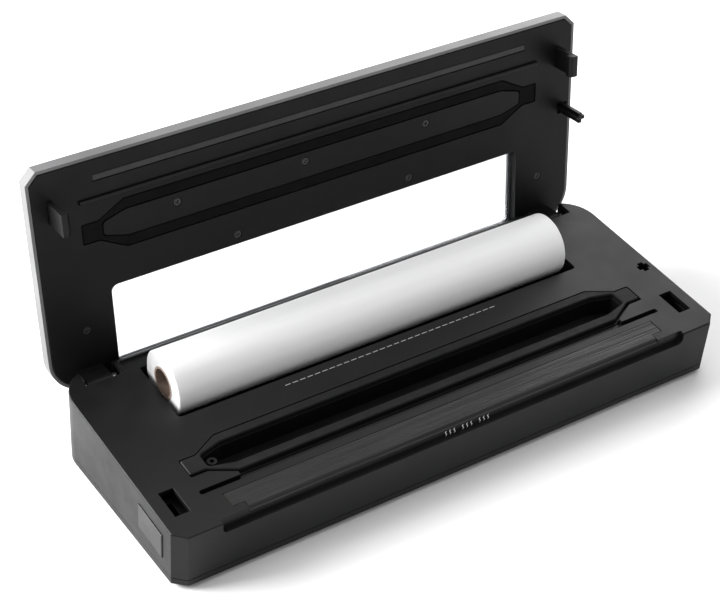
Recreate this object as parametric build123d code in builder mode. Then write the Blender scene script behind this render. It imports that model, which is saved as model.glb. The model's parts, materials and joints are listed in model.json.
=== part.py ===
"""Countertop vacuum sealer with a bag roll inside: wedge base, hinged lid with a clear dome, release buttons.

Millimetres. +X along the length, +Y to the back, +Z up, the surface that it stands on at Z = 0.
Deck coordinates are x, u (back from the front edge, along the sloping deck) and w (up from the deck).
The lid uses the same three, on its own plane, and is drawn open.
"""

from math import cos, radians, sin, sqrt

from build123d import *

# --- What the other sizes follow from
roll_length = 280.0
roll_radius = 20.5
chamber_u = 47.3
front_height = 41.0

# --- Overall sizes
base_length = roll_length + 102.0
tray_front = chamber_u + 37.4
tray_rear = tray_front + 2 * roll_radius + 9.1
deck_depth = tray_rear + 14.2
deck_slope = 5.14
open_angle = 98.6
lid_gap = 0.6
lid_thickness = 9.7
front_chamfer = 7.0
rear_radius = 24.0
running_gap = 0.3

# --- Shell
wall = 2.5
deck_thickness = 3.0
foot_height = 1.5
floor_thickness = 2.5
seam_height = 8.0
seam_gap = 0.5
edge_round = 1.0
cover_chamfer = 2.0
drop = 80.0

# --- Hinge
hinge_u = deck_depth - 7.4
hinge_w = -10.5
barrel_radius = 6.0
pin_radius = 2.0
pin_clearance = 0.05
lug_inner = base_length / 2 - 33.0
lug_outer = lug_inner + 16.4
ear_thickness = 2.8
bracket_base = 3.0

# --- Bag roll and its tray
core_radius = 10.5
core_wall = 1.5
roll_u = tray_front + roll_radius + 6.5
roll_w = 3.0
tray_length = roll_length + 7.8
tray_wall = 2.0
tray_round = 10.0
step_length = tray_length + 16.2
step_rear = deck_depth - 5.0
step_depth = 1.5

# --- Window and dome
window_length = tray_length + 6.0
window_front = tray_front + 0.9
window_rear = tray_rear + 7.7
window_radius = 4.5
dome_rise = roll_w + roll_radius - 7.1
dome_wall = 1.6
dome_draft = 4.0
dome_round = 5.0
dome_flange = 2.6
flange_thickness = 1.6

# --- Vacuum chamber and its gaskets
ring_half_height = 15.4
ring_straight = roll_length / 2 - 6.0
ring_neck = ring_straight + 16.5
tab_half_height = 6.2
tab_end = ring_neck + 10.1
pit_half_height = 8.8
pit_straight = ring_straight - 1.0
pit_end = ring_straight + 14.0
pit_end_half_height = 4.6
pit_depth = 15.2
ring_gap = 0.5
front_gap = 1.6
gasket_seat = 3.2
gasket_proud = 0.2
port_x = 5.5 - pit_end
port_u = chamber_u + 1.5

# --- Heat seal bar, press strip and bag clamp
bar_length = roll_length + 24.0
bar_front = 9.3
bar_rear = 19.5
bar_depth = 9.0
nose_length = roll_length + 8.4
nose_front = 3.9
nose_depth = 3.0
nose_round = 2.8
tape_length = bar_length - 0.8
tape_thickness = 0.25
wire_thickness = 0.3
wire_width = 3.0
rebate_length = bar_length + 21.4
rebate_depth = 3.5
rebate_height = 7.6
strip_length = bar_length - 2.0
strip_front = 11.5
strip_rear = 15.5
groove_length = rebate_length
groove_front = 24.7
groove_rear = 28.1
groove_depth = 3.6
rib_length = groove_length - 3.4
rib_width = 2.0
rib_reach = 2.0

# --- Latches and release buttons
slot_x = base_length / 2 - 13.0
slot_width = 9.2
slot_front = 17.2
slot_rear = 37.1
hook_x = slot_x + 0.1
hook_thickness = 3.0
hook_length = 14.0
hook_reach = 18.6
barb_width = 2.4
barb_height = 4.6
slider_top = -9.0
slider_thickness = 3.0
button_u = 30.0
button_w = -18.0
button_length = 28.0
button_height = 18.0
button_proud = 0.7
flange_margin = 1.6
spring_post_inset = 15.5
spring_post_thickness = 2.0

# --- Lid switch
switch_x = base_length / 2 - 7.5
switch_u = 64.6
cross_slot_span = 8.4
cross_slot_arm = 4.0
cross_pin_span = 7.0
cross_pin_arm = 2.4
pin_reach = 19.0
switch_length = 19.8
switch_width = 5.8
switch_height = 10.2
plunger_height = 3.0
plunger_travel = 1.0

# --- Controls on the lid
panel_length = 132.0
panel_depth = 24.0
panel_u = 27.0
panel_thickness = 0.8
key_radius = 5.6
key_spacing = 32.0
key_travel = 0.5
key_proud = 0.6
key_flange = 1.0
board_thickness = 1.2

# --- Inside the base
pump_length = 25.0
pump_rear = tray_rear - 6.8
pump_front = pump_rear - 31.0
pump_clearance = 1.6
motor_length = 50.0
core_x = 36.0
core_length = 48.0
core_height = 18.0
limb_width = 10.0
core_frame = 7.0
winding_gap = 0.2
board_x = -35.0
board_length = 130.0
board_y = -52.0
board_width = 40.0
standoff_height = 5.0
component_clearance = 2.65
inlet_x = 118.0
inlet_w = roll_w - roll_radius - 9.5
inlet_width = 19.6
inlet_height = 11.6
inlet_pin_depth = 12.0
screw_radius = 1.5
screw_head = 2.8
post_radius = 3.4
foot_radius = 8.0
foot_inset = 26.0

# --- Frame: the open dome and the front edge reach equally far from the origin
lean = radians(open_angle - 90.0 - deck_slope)
slope = radians(deck_slope)
lid_top = lid_gap + lid_thickness
dome_top = lid_top + dome_rise
rear_reach = (
    sin(lean) * (hinge_u - window_front - 2 * dome_round + dome_wall * 2)
    + cos(lean) * (dome_top - dome_round - hinge_w)
    + dome_round
)
front_reach = hinge_u * cos(slope) - hinge_w * sin(slope)
hinge_y = (front_reach - rear_reach) / 2
hinge_z = front_height + hinge_u * sin(slope) + hinge_w * cos(slope)


def tilted(angle):
    """Plane whose x, u, w coordinates turn about the hinge; angle 0 is level."""
    c, s = cos(radians(angle)), sin(radians(angle))
    origin = (0, hinge_y - hinge_u * c + hinge_w * s, hinge_z - hinge_u * s - hinge_w * c)
    return Plane(origin=origin, x_dir=(1, 0, 0), z_dir=(0, -s, c))


deck = tilted(deck_slope)
lid = tilted(deck_slope - open_angle)


def side_plane(plane, x):
    """Plane across the length at x, with u to the right and w up."""
    return Plane(origin=plane.from_local_coords((x, 0, 0)), x_dir=plane.y_dir, z_dir=plane.x_dir)


def back_plane(x, u, w):
    """Plane parallel to the rear wall, with x to the right and w downwards."""
    return Plane(origin=deck.from_local_coords((x, u, w)), x_dir=(1, 0, 0), z_dir=deck.y_dir)


def slab(outline, plane, low, high, mode=Mode.ADD):
    with BuildSketch(plane.offset(low)) as foot:
        add(outline)
    extrude(foot.sketch, amount=high - low, dir=plane.z_dir, mode=mode)


def block(plane, x_range, u_range, w_range, mode=Mode.ADD):
    x_low, x_high = sorted(x_range)
    with BuildSketch(plane.offset(w_range[0])) as foot:
        with Locations(((x_low + x_high) / 2, sum(u_range) / 2)):
            Rectangle(x_high - x_low, u_range[1] - u_range[0])
    extrude(foot.sketch, amount=w_range[1] - w_range[0], dir=plane.z_dir, mode=mode)


def rod(plane, place, radius, w_range, mode=Mode.ADD):
    with BuildSketch(plane.offset(w_range[0])) as foot:
        with Locations(place):
            Circle(radius)
    extrude(foot.sketch, amount=w_range[1] - w_range[0], dir=plane.z_dir, mode=mode)


def cross_rod(plane, place, radius, x_range, mode=Mode.ADD):
    """A round rod along X at u, w."""
    low, high = sorted(x_range)
    with BuildSketch(side_plane(plane, low)) as end:
        with Locations(place):
            Circle(radius)
    extrude(end.sketch, amount=high - low, dir=plane.x_dir, mode=mode)


def body_outline(inset=0.0):
    """Plan of the base and the lid: chamfered front corners and round rear ones."""
    with BuildSketch() as plan:
        with Locations((0, deck_depth / 2)):
            Rectangle(base_length - 2 * inset, deck_depth - 2 * inset)
        chamfer(plan.vertices().group_by(Axis.Y)[0], front_chamfer - inset * (2 - sqrt(2)))
        fillet(plan.vertices().group_by(Axis.Y)[-1], rear_radius - inset)
    return plan.sketch


def long_outline(corners, rounding, shift=0.0):
    """Plan that is symmetric about the chamber's two centre lines, from its corners in one quarter."""
    upper = corners + [(-x, y) for x, y in reversed(corners)]
    points = [(x, chamber_u + shift + y) for x, y in upper]
    points += [(x, chamber_u + shift - y) for x, y in reversed(upper)]
    with BuildSketch() as plan:
        with BuildLine():
            Polyline(*points, close=True)
        make_face()
        fillet(plan.vertices(), rounding)
    return plan.sketch


def ring_outline(grow=0.0, shift=0.0):
    corners = [
        (tab_end + grow, tab_half_height + grow),
        (ring_neck, tab_half_height + grow),
        (ring_straight, ring_half_height + grow),
    ]
    return long_outline(corners, 1.2, shift)


def pit_outline(grow=0.0):
    corners = [(pit_end + grow, pit_end_half_height + grow), (pit_straight, pit_half_height + grow)]
    return long_outline(corners, 2.5)


def box_outline(length, low, high, radius):
    with BuildSketch() as plan:
        with Locations((0, (low + high) / 2)):
            RectangleRounded(length, high - low, radius)
    return plan.sketch


def save(part, name):
    part.label = name
    export_step(part, f"parts/{name}.step")


sides = {"left": -1, "right": 1}
base_plan = body_outline()
base_inside = body_outline(wall)
deck_under = -deck_thickness
floor_top = foot_height + floor_thickness
post_places = [(0, tray_front - 9.7)]
for side in (-1, 1):
    post_places += [
        (side * (base_length / 2 - 15), roll_u - 11.7),
        (side * (base_length / 2 - 22.5), chamber_u + 9.7),
        (side * (roll_length / 2 - 50.4), tray_front - 9.7),
    ]
post_points = [deck.from_local_coords((x, u, deck_under / 2)) for x, u in post_places]
standoff_x = board_length / 2 - 5
standoff_y = board_width / 2 - 5
standoff_ends = (board_x - standoff_x, board_x + standoff_x)
standoff_places = [(x, board_y + y) for x in standoff_ends for y in (-standoff_y, standoff_y)]

# --- Base housing: walls and deck in one moulding
seam_plane = Plane.XY.offset(seam_height)
cutout_inner = lug_inner - ear_thickness - 2 * running_gap
cutout_outer = lug_outer + ear_thickness + 2 * running_gap
cutout_front = hinge_u - barrel_radius - 1.6
cutout_floor = hinge_w - barrel_radius - bracket_base - 2 * running_gap
swing_radius = lid_gap - hinge_w - 0.4

with BuildPart() as base_housing:
    slab(base_plan, deck, -drop, 0)
    deck_face = base_housing.faces().sort_by(Axis(deck.origin, deck.z_dir))[-1]
    fillet(deck_face.edges(), edge_round)
    slab(base_inside, deck, -drop - 1, deck_under, Mode.SUBTRACT)
    rebate_back = rebate_length / 2 + 9
    rebate_w = (-rebate_height - wall, deck_under + 0.5)
    block(deck, (-rebate_back, rebate_back), (wall - 0.5, bar_front - 0.5), rebate_w)
    groove_back = groove_length / 2 + 3.3
    groove_w = (-groove_depth - wall, deck_under + 0.5)
    block(deck, (-groove_back, groove_back), (groove_front - 2, groove_rear + 2), groove_w)
    split(bisect_by=seam_plane, keep=Keep.TOP)
    for point in post_points:
        rod(Plane.XY, (point.X, point.Y), post_radius, (floor_top + running_gap, point.Z))
    for side in sides.values():
        shelf_range = (side * (cutout_inner - 2), side * (cutout_outer + 3))
        block(deck, shelf_range, (cutout_front - 8, deck_depth - wall + 0.5), (cutout_floor - wall, cutout_floor))
        post_face = slot_x - spring_post_inset
        spring_post = (side * (post_face - spring_post_thickness), side * post_face)
        block(deck, spring_post, (button_u - 8, button_u + 2), (slider_top - 7, deck_under + 0.5))
    switch_side = (switch_x + switch_width / 2 + running_gap / 2, base_length / 2 - wall + 0.5)
    block(deck, switch_side, (switch_u - 8, switch_u + 8), (-pin_reach - plunger_height - 10, -pin_reach))
    for point in post_points:
        rod(Plane.XY, (point.X, point.Y), screw_radius, (floor_top - 1, floor_top + 12), Mode.SUBTRACT)
    # Clearance for the lid's inner face as it swings past the rear edge
    with BuildSketch(side_plane(deck, -base_length / 2 - 1)) as swing:
        with Locations((hinge_u + 20, hinge_w + 20)):
            Rectangle(40, 40)
        with Locations((hinge_u, hinge_w)):
            Circle(swing_radius, mode=Mode.SUBTRACT)
    extrude(swing.sketch, amount=base_length + 2, dir=(1, 0, 0), mode=Mode.SUBTRACT)
    # Front rebate, heat bar pocket and clamp groove
    front_face = Plane(origin=deck.origin, x_dir=(1, 0, 0), z_dir=-deck.y_dir)
    with BuildSketch(front_face) as rebate:
        RectangleRounded(rebate_length, 2 * rebate_height, 3.0)
    extrude(rebate.sketch, amount=rebate_depth, dir=deck.y_dir, mode=Mode.SUBTRACT)
    extrude(rebate.sketch, amount=2, dir=-deck.y_dir, mode=Mode.SUBTRACT)
    bar_half = bar_length / 2 + running_gap
    bar_pocket = (bar_front - running_gap, bar_rear + running_gap)
    block(deck, (-bar_half, bar_half), bar_pocket, (-bar_depth - 1, 1), Mode.SUBTRACT)
    nose_half = nose_length / 2 + running_gap
    nose_pocket = (rebate_depth - 0.2, bar_front)
    block(deck, (-nose_half, nose_half), nose_pocket, (-nose_depth - 0.1, 1), Mode.SUBTRACT)
    groove_plan = box_outline(groove_length, groove_front, groove_rear, 1.5)
    slab(groove_plan, deck, -groove_depth, 1, Mode.SUBTRACT)
    # Chamber recess, open to the groove along its straight stretch
    slab(ring_outline(ring_gap), deck, -groove_depth, 1, Mode.SUBTRACT)
    slab(ring_outline(ring_gap, -front_gap), deck, -groove_depth, 1, Mode.SUBTRACT)
    straight = ring_straight + 2
    block(deck, (-straight, straight), (groove_rear - 1, groove_rear + 4), (-groove_depth, 1), Mode.SUBTRACT)
    # Roll opening with a shallow step behind it
    slab(box_outline(tray_length, tray_front, tray_rear, 2.5), deck, deck_under - 1, 1, Mode.SUBTRACT)
    step_range = (-step_length / 2, step_length / 2)
    block(deck, step_range, (tray_rear - 3, step_rear), (-step_depth, 1), Mode.SUBTRACT)
    for side in sides.values():
        cutout = (side * cutout_inner, side * cutout_outer)
        block(deck, cutout, (cutout_front, deck_depth + 1), (cutout_floor, 1), Mode.SUBTRACT)
        slot = (side * (slot_x - slot_width / 2), side * (slot_x + slot_width / 2))
        block(deck, slot, (slot_front, slot_rear), (deck_under - 1, 1), Mode.SUBTRACT)
        opening = (side * (base_length / 2 - wall - 1), side * (base_length / 2 + 1))
        button_range_u = (button_u - button_length / 2, button_u + button_length / 2)
        button_range_w = (button_w - button_height / 2, button_w + button_height / 2)
        block(deck, opening, button_range_u, button_range_w, Mode.SUBTRACT)
    for span_x, span_u in ((cross_slot_span, cross_slot_arm), (cross_slot_arm, cross_slot_span)):
        cross_x = (switch_x - span_x / 2, switch_x + span_x / 2)
        cross_u = (switch_u - span_u / 2, switch_u + span_u / 2)
        block(deck, cross_x, cross_u, (deck_under - 1, 1), Mode.SUBTRACT)
    with BuildSketch(back_plane(inlet_x, deck_depth - wall - 1, inlet_w)) as socket_hole:
        RectangleRounded(inlet_width + 0.6, inlet_height + 0.6, 3.0)
    extrude(socket_hole.sketch, amount=wall + 2, dir=deck.y_dir, mode=Mode.SUBTRACT)
save(base_housing.part, "base_housing")

# --- Bottom cover: tray with a tapered rim, standoffs and screw holes
with BuildPart() as cover_cavity:
    slab(base_inside, deck, -drop, 0)
    split(bisect_by=Plane.XY.offset(floor_top), keep=Keep.TOP)

foot_x = base_length / 2 - foot_inset
foot_y = [deck.from_local_coords((0, u, -front_height)).Y for u in (foot_inset / 2, deck_depth - foot_inset)]
foot_places = [(x, y) for x in (-foot_x, foot_x) for y in foot_y]
with BuildPart() as bottom_cover:
    slab(base_plan, deck, -drop, 0)
    split(bisect_by=Plane.XY.offset(seam_height - seam_gap), keep=Keep.BOTTOM)
    split(bisect_by=Plane.XY.offset(foot_height), keep=Keep.TOP)
    chamfer(bottom_cover.faces().sort_by(Axis.Z)[0].edges(), cover_chamfer)
    add(cover_cavity.part, mode=Mode.SUBTRACT)
    for place in standoff_places:
        rod(Plane.XY, place, 3.0, (floor_top - 0.5, floor_top + standoff_height))
    for point in post_points:
        rod(Plane.XY, (point.X, point.Y), screw_radius + 0.3, (0, floor_top + 1), Mode.SUBTRACT)
        rod(Plane.XY, (point.X, point.Y), screw_head + 0.4, (0, foot_height + 1.4), Mode.SUBTRACT)
    for place in foot_places:
        rod(Plane.XY, place, foot_radius + 0.2, (0, foot_height + 0.8), Mode.SUBTRACT)
save(bottom_cover.part, "bottom_cover")

with BuildPart() as base_screws:
    for point in post_points:
        rod(Plane.XY, (point.X, point.Y), screw_head, (foot_height + 0.2, foot_height + 1.4))
        rod(Plane.XY, (point.X, point.Y), screw_radius - 0.03, (foot_height + 1.4, floor_top + 10))
save(base_screws.part, "base_screws")

foot_names = ["foot_front_left", "foot_rear_left", "foot_front_right", "foot_rear_right"]
for foot_name, foot_place in zip(foot_names, foot_places):
    with BuildPart() as foot:
        rod(Plane.XY, foot_place, foot_radius, (0, foot_height + 0.8))
        chamfer(foot.faces().sort_by(Axis.Z)[0].edges(), 0.5)
    save(foot.part, foot_name)

# --- Vacuum chamber tray, its gasket and suction port
with BuildPart() as chamber_tray:
    slab(ring_outline(1.4), deck, -gasket_seat - 2, -gasket_seat)
    slab(pit_outline(1.8), deck, -pit_depth - 1.8, -gasket_seat - 1)
    slab(pit_outline(), deck, -pit_depth, 0, Mode.SUBTRACT)
    rod(deck, (port_x, port_u), 2.2, (-pit_depth - 3, -pit_depth + 1), Mode.SUBTRACT)
save(chamber_tray.part, "chamber_tray")

with BuildPart() as chamber_gasket:
    slab(ring_outline(), deck, -gasket_seat, gasket_proud)
    slab(pit_outline(0.4), deck, -gasket_seat - 1, 1, Mode.SUBTRACT)
    gasket_top = chamber_gasket.faces().sort_by(Axis(deck.origin, deck.z_dir))[-1]
    chamfer(gasket_top.edges(), 0.6)
save(chamber_gasket.part, "chamber_gasket")

with BuildPart() as suction_port:
    rod(deck, (port_x, port_u), 3.0, (-pit_depth, -4.5))
    rod(deck, (port_x, port_u), 2.1, (-pit_depth - 8, -pit_depth))
    rod(deck, (port_x, port_u), 1.3, (-pit_depth - 9, 0), Mode.SUBTRACT)
save(suction_port.part, "suction_port")

hose_low = -30.0
hose_end = pump_front - 8
with BuildPart() as suction_hose:
    with BuildLine() as hose_path:
        FilletPolyline(
            deck.from_local_coords((port_x, port_u, -pit_depth - 2.2)),
            deck.from_local_coords((port_x, port_u, hose_low)),
            deck.from_local_coords((port_x, hose_end, hose_low)),
            radius=8,
        )
    with BuildSketch(Plane(origin=hose_path.line @ 0, z_dir=hose_path.line % 0)):
        Circle(3.3)
        Circle(2.2, mode=Mode.SUBTRACT)
    sweep()
save(suction_hose.part, "suction_hose")

# --- Heat seal bar, heating wire and slip tape
with BuildPart() as heater_bar:
    bar_top = -tape_thickness - wire_thickness
    bar_x = (-bar_length / 2, bar_length / 2)
    block(deck, bar_x, (bar_front, bar_rear), (-bar_depth, bar_top))
    with BuildSketch(side_plane(deck, -nose_length / 2)) as nose:
        with Locations(((nose_front + bar_front) / 2, (bar_top - nose_depth) / 2)):
            Rectangle(bar_front - nose_front, bar_top + nose_depth)
        fillet(nose.vertices().group_by(Axis.X)[0].sort_by(Axis.Y)[-1], nose_round - 0.7)
    extrude(nose.sketch, amount=nose_length, dir=(1, 0, 0))
save(heater_bar.part, "heater_bar")

with BuildPart() as heating_wire:
    wire_u = (bar_front + bar_rear) / 2
    wire_x = (2 - bar_length / 2, bar_length / 2 - 2)
    wire_range = (wire_u - wire_width / 2, wire_u + wire_width / 2)
    block(deck, wire_x, wire_range, (bar_top, bar_top + wire_thickness))
save(heating_wire.part, "heating_wire")

with BuildPart() as ptfe_tape:
    tape_low = bar_top + wire_thickness
    tape_top = tape_low + tape_thickness
    block(deck, (-tape_length / 2, tape_length / 2), (bar_front, bar_rear), (tape_low, tape_top))
    with BuildSketch(side_plane(deck, -nose_length / 2)) as wrap:
        wrap_front = nose_front - tape_thickness
        with Locations(((wrap_front + bar_front) / 2, (tape_top - nose_depth) / 2)):
            Rectangle(bar_front - wrap_front, tape_top + nose_depth)
        fillet(wrap.vertices().group_by(Axis.X)[0].sort_by(Axis.Y)[-1], nose_round)
    extrude(wrap.sketch, amount=nose_length, dir=(1, 0, 0))
    with BuildSketch(side_plane(deck, -nose_length / 2)) as under_wrap:
        with Locations(((nose_front + bar_front) / 2 + 0.01, (tape_low - nose_depth - 1) / 2)):
            Rectangle(bar_front - nose_front + 0.02, tape_low + nose_depth + 1)
        fillet(under_wrap.vertices().group_by(Axis.X)[0].sort_by(Axis.Y)[-1], nose_round - 0.6)
    extrude(under_wrap.sketch, amount=nose_length, dir=(1, 0, 0), mode=Mode.SUBTRACT)
save(ptfe_tape.part, "ptfe_tape")

# --- Roll tray and the bag roll in it
roll_floor = roll_w - roll_radius - running_gap
with BuildPart() as roll_tray:
    outer_length = tray_length + 2 * tray_wall
    with BuildSketch(side_plane(deck, -outer_length / 2)) as trough:
        trough_depth = deck_under - running_gap - (roll_floor - tray_wall)
        with Locations(((tray_front + tray_rear) / 2, roll_floor - tray_wall + trough_depth / 2)):
            Rectangle(tray_rear - tray_front + 2 * tray_wall, trough_depth)
        fillet(trough.vertices().group_by(Axis.Y)[0], tray_round + tray_wall)
    extrude(trough.sketch, amount=outer_length, dir=(1, 0, 0))
    rim = (-outer_length / 2 - 3, outer_length / 2 + 3)
    rim_top = deck_under - running_gap
    block(deck, rim, (tray_front - 5, tray_rear + 3.5), (rim_top - 1.8, rim_top))
    with BuildSketch(side_plane(deck, -tray_length / 2)) as hollow:
        with Locations(((tray_front + tray_rear) / 2, roll_floor + 20)):
            Rectangle(tray_rear - tray_front, 40)
        fillet(hollow.vertices().group_by(Axis.Y)[0], tray_round)
    extrude(hollow.sketch, amount=tray_length, dir=(1, 0, 0), mode=Mode.SUBTRACT)
save(roll_tray.part, "roll_tray")

roll_range = (-roll_length / 2, roll_length / 2)
with BuildPart() as bag_film:
    cross_rod(deck, (roll_u, roll_w), roll_radius, roll_range)
    cross_rod(deck, (roll_u, roll_w), core_radius, roll_range, Mode.SUBTRACT)
save(bag_film.part, "bag_film")

with BuildPart() as roll_core:
    cross_rod(deck, (roll_u, roll_w), core_radius, roll_range)
    cross_rod(deck, (roll_u, roll_w), core_radius - core_wall, roll_range, Mode.SUBTRACT)
save(roll_core.part, "roll_core")

# --- Hinges: bracket and pin on each side
for name, side in sides.items():
    with BuildPart() as hinge_bracket:
        for low in (lug_inner - running_gap - ear_thickness, lug_outer + running_gap):
            ear = (side * low, side * (low + ear_thickness))
            ear_radius = pin_radius + 2.6
            cross_rod(deck, (hinge_u, hinge_w), ear_radius, ear)
            ear_foot = (cutout_floor + running_gap / 2, hinge_w)
            block(deck, ear, (hinge_u - ear_radius, hinge_u + ear_radius), ear_foot)
        bracket_x = (side * (lug_inner - ear_thickness), side * (lug_outer + ear_thickness))
        bracket_w = (cutout_floor + running_gap / 2, hinge_w - barrel_radius - running_gap)
        block(deck, bracket_x, (hinge_u - 4.6, hinge_u + 4.6), bracket_w)
        pin_hole = (side * (lug_inner - 10), side * (lug_outer + 10))
        cross_rod(deck, (hinge_u, hinge_w), pin_radius, pin_hole, Mode.SUBTRACT)
    save(hinge_bracket.part, f"hinge_bracket_{name}")
    with BuildPart() as hinge_pin:
        pin_range = (side * (lug_inner - ear_thickness), side * (lug_outer + ear_thickness))
        cross_rod(deck, (hinge_u, hinge_w), pin_radius, pin_range)
    save(hinge_pin.part, f"hinge_pin_{name}")

# --- Release button, latch slider and return spring on each side
half = base_length / 2
slider_low = slider_top - slider_thickness
slider_inner = slot_x - 9.0
flange_face = half - wall - running_gap
flange_back = flange_face - 2.5
for name, side in sides.items():
    with BuildPart() as release_button:
        face = (side * flange_back, side * (half + button_proud))
        face_u = (button_u - button_length / 2 + 0.4, button_u + button_length / 2 - 0.4)
        face_w = (button_w - button_height / 2 + 0.4, button_w + button_height / 2 - 0.4)
        block(deck, face, face_u, face_w)
        outer_face = release_button.faces().sort_by(Axis.X)[-1 if side > 0 else 0]
        fillet(outer_face.edges(), 0.6)
        flange = (side * flange_back, side * flange_face)
        flange_u = (face_u[0] - flange_margin, face_u[1] + flange_margin)
        flange_w = (face_w[0] - flange_margin, face_w[1] + flange_margin)
        block(deck, flange, flange_u, flange_w)
    save(release_button.part, f"release_button_{name}")
    with BuildPart() as latch_slider:
        frame_u = (button_u - 15, button_u + 9)
        block(deck, (side * slider_inner, side * flange_back), frame_u, (slider_low, slider_top))
        window = (side * (hook_x - 2.5), side * (hook_x + 6))
        window_u = (button_u - 11.5, button_u + 5.5)
        block(deck, window, window_u, (slider_low - 1, slider_top + 1), Mode.SUBTRACT)
    save(latch_slider.part, f"latch_slider_{name}")
    with BuildPart() as latch_spring:
        spring_length = slider_inner - post_face - 0.8
        spring_middle = side * (slider_inner + post_face) / 2
        spring_start = spring_middle + spring_length / 2
        spring_origin = deck.from_local_coords((spring_start, button_u - 3, slider_top - slider_thickness / 2))
        with BuildLine() as coil:
            Helix(1.35, spring_length, 2.0, center=spring_origin, direction=(-1, 0, 0))
        with BuildSketch(Plane(origin=coil.line @ 0, z_dir=coil.line % 0)):
            Circle(0.3)
        sweep()
    save(latch_spring.part, f"latch_spring_{name}")

# --- Lid switch under the cross-shaped slot
switch_top = -pin_reach - plunger_height
with BuildPart() as microswitch:
    body_x = (switch_x - switch_width / 2, switch_x + switch_width / 2)
    body_u = (switch_u - switch_length / 2, switch_u + switch_length / 2)
    block(deck, body_x, body_u, (switch_top - switch_height, switch_top))
    plunger_bore = (switch_top - plunger_travel - 2.6, switch_top + 1)
    rod(deck, (switch_x, switch_u), 1.6, plunger_bore, Mode.SUBTRACT)
    for terminal_u in (switch_u - 7, switch_u, switch_u + 7):
        terminal_range = (terminal_u - 1.2, terminal_u + 1.2)
        terminal_low = switch_top - switch_height - 3.5
        block(deck, (switch_x - 0.4, switch_x + 0.4), terminal_range, (terminal_low, switch_top - switch_height))
save(microswitch.part, "microswitch")

with BuildPart() as switch_plunger:
    rod(deck, (switch_x, switch_u), 1.3, (switch_top - 2.3, -pin_reach - running_gap / 2))
save(switch_plunger.part, "switch_plunger")

# --- Vacuum pump, motor, transformer and electronics on the floor
pump_y = [deck.from_local_coords((0, u, hose_low)).Y for u in (pump_front, pump_rear)]
pump_floor = floor_top + 0.2
tray_under = deck.from_local_coords((0, tray_front, roll_floor - tray_wall)).Z
pump_height = tray_under - pump_floor - pump_clearance
motor_radius = (pump_height - 1) / 2
with BuildPart() as vacuum_pump:
    pump_low = port_x - pump_length / 2
    block(Plane.XY, (pump_low, pump_low + pump_length), pump_y, (pump_floor, pump_floor + pump_height))
    fillet(vacuum_pump.edges().filter_by(Axis.Z), 3)
    with BuildSketch(back_plane(port_x, hose_end - 6, hose_low)) as nipple:
        Circle(2.1)
    extrude(nipple.sketch, amount=14, dir=deck.y_dir)
    with BuildSketch(back_plane(port_x, hose_end - 7, hose_low)) as nipple_bore:
        Circle(1.2)
    extrude(nipple_bore.sketch, amount=18, dir=deck.y_dir, mode=Mode.SUBTRACT)
save(vacuum_pump.part, "vacuum_pump")

motor_y = sum(pump_y) / 2
motor_z = pump_floor + motor_radius + 0.6
motor_start = port_x + pump_length / 2 + running_gap
with BuildPart() as pump_motor:
    with BuildSketch(Plane.YZ.offset(motor_start)):
        with Locations((motor_y, motor_z)):
            Circle(motor_radius)
    extrude(amount=motor_length)
    fillet(pump_motor.edges().filter_by(GeomType.CIRCLE), 1.5)
    with BuildSketch(Plane.YZ.offset(motor_start + motor_length - 1)):
        with Locations((motor_y, motor_z)):
            Circle(4)
    extrude(amount=4)
save(pump_motor.part, "pump_motor")

with BuildPart() as transformer_core:
    core_top = pump_floor + core_height
    core_ends = (core_x - core_length / 2, core_x + core_length / 2)
    core_y = (pump_y[0] + 2, pump_y[1] - 2)
    window_x = (core_ends[0] + core_frame, core_ends[1] - core_frame)
    limb_x = (core_x - limb_width / 2, core_x + limb_width / 2)
    block(Plane.XY, core_ends, core_y, (pump_floor, core_top))
    block(Plane.XY, window_x, pump_y, (pump_floor + 3, core_top - 3), Mode.SUBTRACT)
    block(Plane.XY, limb_x, core_y, (pump_floor + 2, core_top - 2))
save(transformer_core.part, "transformer_core")

with BuildPart() as transformer_winding:
    winding_x = (window_x[0] + winding_gap, window_x[1] - winding_gap)
    winding_z = (pump_floor + 3 + winding_gap, core_top - 3 - winding_gap)
    block(Plane.XY, winding_x, pump_y, winding_z)
    fillet(transformer_winding.edges().filter_by(Axis.Z), 3)
    bore_x = (limb_x[0] - winding_gap, limb_x[1] + winding_gap)
    block(Plane.XY, bore_x, (pump_y[0] - 1, pump_y[1] + 1), (pump_floor, core_top), Mode.SUBTRACT)
save(transformer_winding.part, "transformer_winding")

board_low = floor_top + standoff_height + 0.1
board_ends = (board_x - board_length / 2, board_x + board_length / 2)
board_sides = (board_y - board_width / 2, board_y + board_width / 2)
with BuildPart() as circuit_board:
    block(Plane.XY, board_ends, board_sides, (board_low, board_low + 1.6))
save(circuit_board.part, "circuit_board")

with BuildPart() as board_components:
    board_top = board_low + 1.6
    pit_under = deck.from_local_coords((0, chamber_u - pit_half_height - 1.8, -pit_depth - 1.8)).Z
    tallest = pit_under - board_top - component_clearance
    relay, chip, connector = (-45, 0, 19, 15, tallest), (-10, 4, 12, 12, 4), (50, -8, 14, 10, tallest - 2)
    for x, y, size_x, size_y, size_z in (relay, chip, connector):
        x_range = (board_x + x - size_x / 2, board_x + x + size_x / 2)
        y_range = (board_y + y - size_y / 2, board_y + y + size_y / 2)
        block(Plane.XY, x_range, y_range, (board_top, board_top + size_z))
    large_can, small_can = (15, -3, 6, tallest), (31, 10, 4, tallest - 4)
    for x, y, radius, height in (large_can, small_can):
        rod(Plane.XY, (board_x + x, board_y + y), radius, (board_top, board_top + height))
save(board_components.part, "board_components")

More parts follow.
